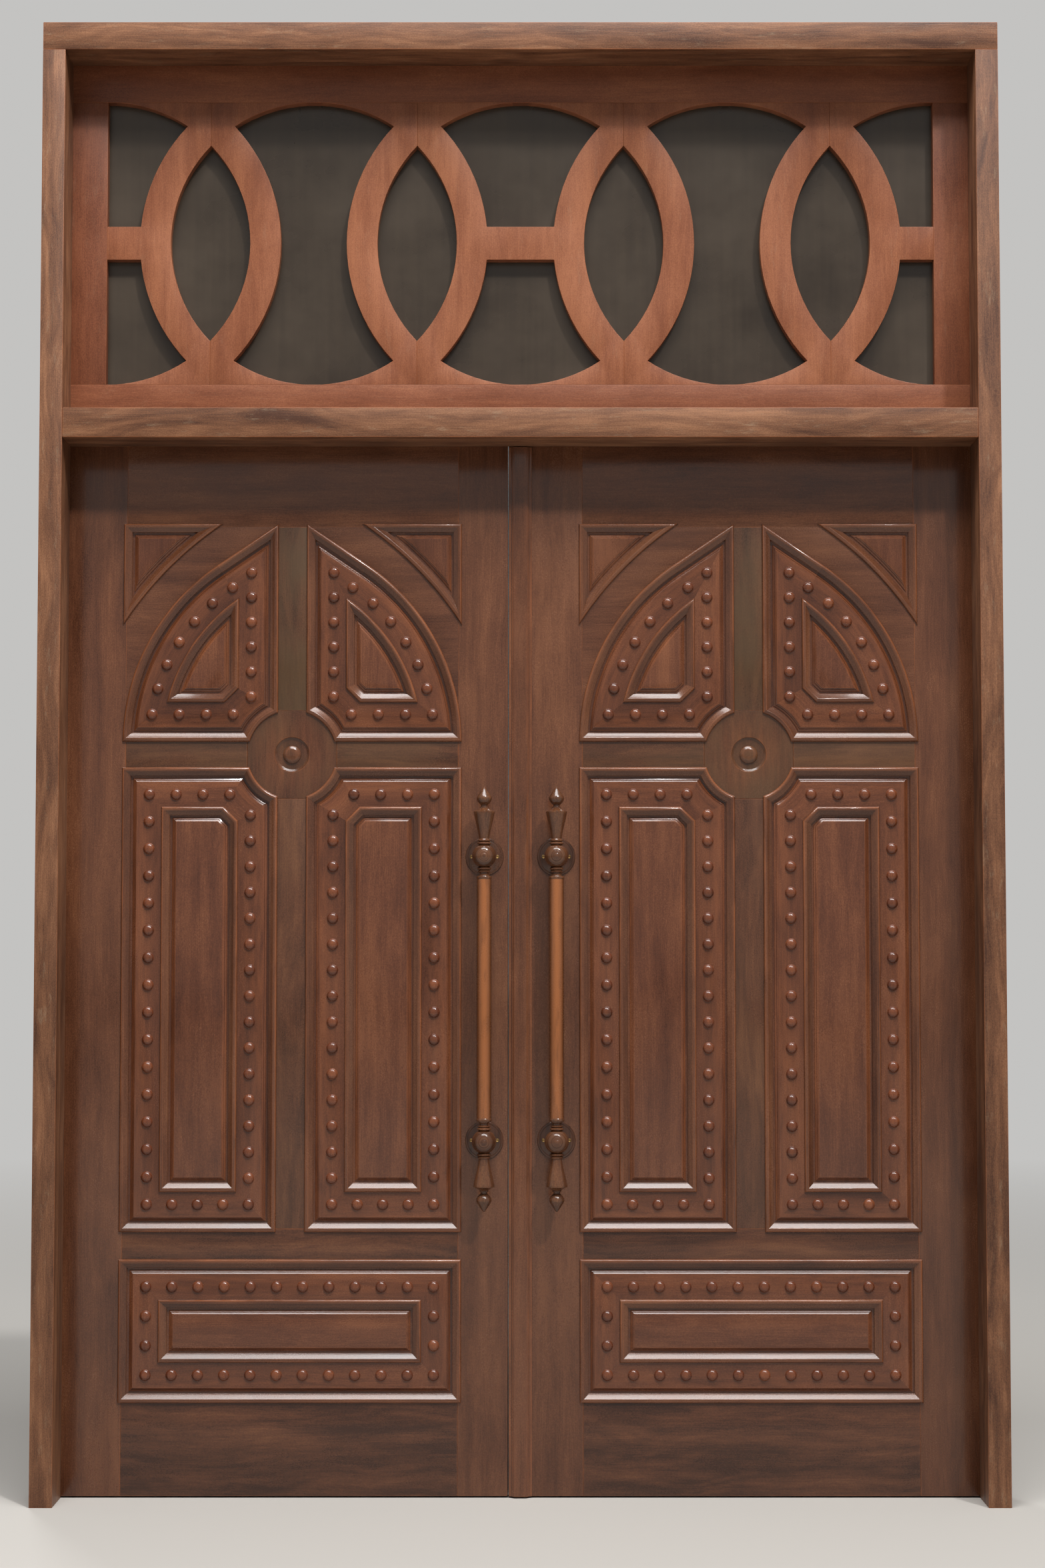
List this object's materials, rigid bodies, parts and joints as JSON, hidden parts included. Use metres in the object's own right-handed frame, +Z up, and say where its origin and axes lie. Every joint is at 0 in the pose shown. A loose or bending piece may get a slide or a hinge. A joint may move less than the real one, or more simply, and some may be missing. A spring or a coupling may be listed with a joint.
{
  "type": "carved temple door",
  "caption": "Pair of carved, studded wooden door leaves with arched raised panels and long turned handles, in a frame with a fretwork transom light.",
  "frame": {"origin": "on the floor, midway between the jambs, in the plane of the leaves' front faces", "axes": "+X to the right seen from the front, +Y into the building, +Z up"},
  "size_m": [2.204, 0.204, 3.388],
  "materials": {
    "frame_wood": "weathered, dusty varnish",
    "fretwork_wood": "old varnish",
    "leaf_wood": "satin varnish",
    "muntin_wood": "satin varnish",
    "panel_wood": "satin varnish",
    "stud_wood": "satin varnish",
    "rod_wood": "worn by hands",
    "handle_wood": "dark turned wood, worn",
    "steel": "dull",
    "glass": "dusty"
  },
  "bodies": {
    "root": {"bolt_keepers": "steel", "frame_hinge_plates": "steel", "fretwork_boards": "fretwork_wood", "fretwork_rails": "fretwork_wood", "fretwork_stiles": "fretwork_wood", "glazing_beads": "fretwork_wood", "head": "frame_wood", "hinge_pins": "steel", "left_jamb": "frame_wood", "right_jamb": "frame_wood", "transom_glass": "glass", "transom_rail": "frame_wood"},
    "left_leaf": {"left_arch_braces": "leaf_wood", "left_bolt_guides": "steel", "left_bottom_rail": "muntin_wood", "left_cross_rails": "muntin_wood", "left_handle_ends": "handle_wood", "left_handle_plates": "handle_wood", "left_handle_rod": "rod_wood", "left_hinge_plates": "steel", "left_hinge_stile": "leaf_wood", "left_hub_block": "leaf_wood", "left_inner_mouldings": "leaf_wood", "left_lock_rail": "muntin_wood", "left_lower_muntin": "muntin_wood", "left_meeting_stile": "leaf_wood", "left_outer_mouldings": "leaf_wood", "left_raised_panels": "panel_wood", "left_stud_bands": "panel_wood", "left_studs": "stud_wood", "left_top_rail": "leaf_wood", "left_upper_muntin": "muntin_wood"},
    "right_leaf": {"right_arch_braces": "leaf_wood", "right_bolt_guides": "steel", "right_bottom_rail": "muntin_wood", "right_cover_strip": "leaf_wood", "right_cross_rails": "muntin_wood", "right_handle_ends": "handle_wood", "right_handle_plates": "handle_wood", "right_handle_rod": "rod_wood", "right_hinge_plates": "steel", "right_hinge_stile": "leaf_wood", "right_hub_block": "leaf_wood", "right_inner_mouldings": "leaf_wood", "right_lock_rail": "muntin_wood", "right_lower_muntin": "muntin_wood", "right_meeting_stile": "leaf_wood", "right_outer_mouldings": "leaf_wood", "right_raised_panels": "panel_wood", "right_stud_bands": "panel_wood", "right_studs": "stud_wood", "right_top_rail": "leaf_wood", "right_upper_muntin": "muntin_wood"},
    "left_bolt": {"left_bolt": "steel"},
    "right_bolt": {"right_bolt": "steel"}
  },
  "joints": [
    {"name": "left_hinge", "type": "hinge", "parent": "root", "child": "left_leaf", "pos_m": [-1.0635, 0.0554, 1.2], "axis": [0, 0, 1], "range_deg": [0, 105]},
    {"name": "right_hinge", "type": "hinge", "parent": "root", "child": "right_leaf", "pos_m": [1.0635, 0.0554, 1.2], "axis": [0, 0, -1], "range_deg": [0, 105]},
    {"name": "left_bolt_slide", "type": "slide", "parent": "left_leaf", "child": "left_bolt", "axis": [0, 0, 1], "range_m": [0, 0.04]},
    {"name": "right_bolt_slide", "type": "slide", "parent": "right_leaf", "child": "right_bolt", "axis": [0, 0, 1], "range_m": [0, 0.04]}
  ]
}
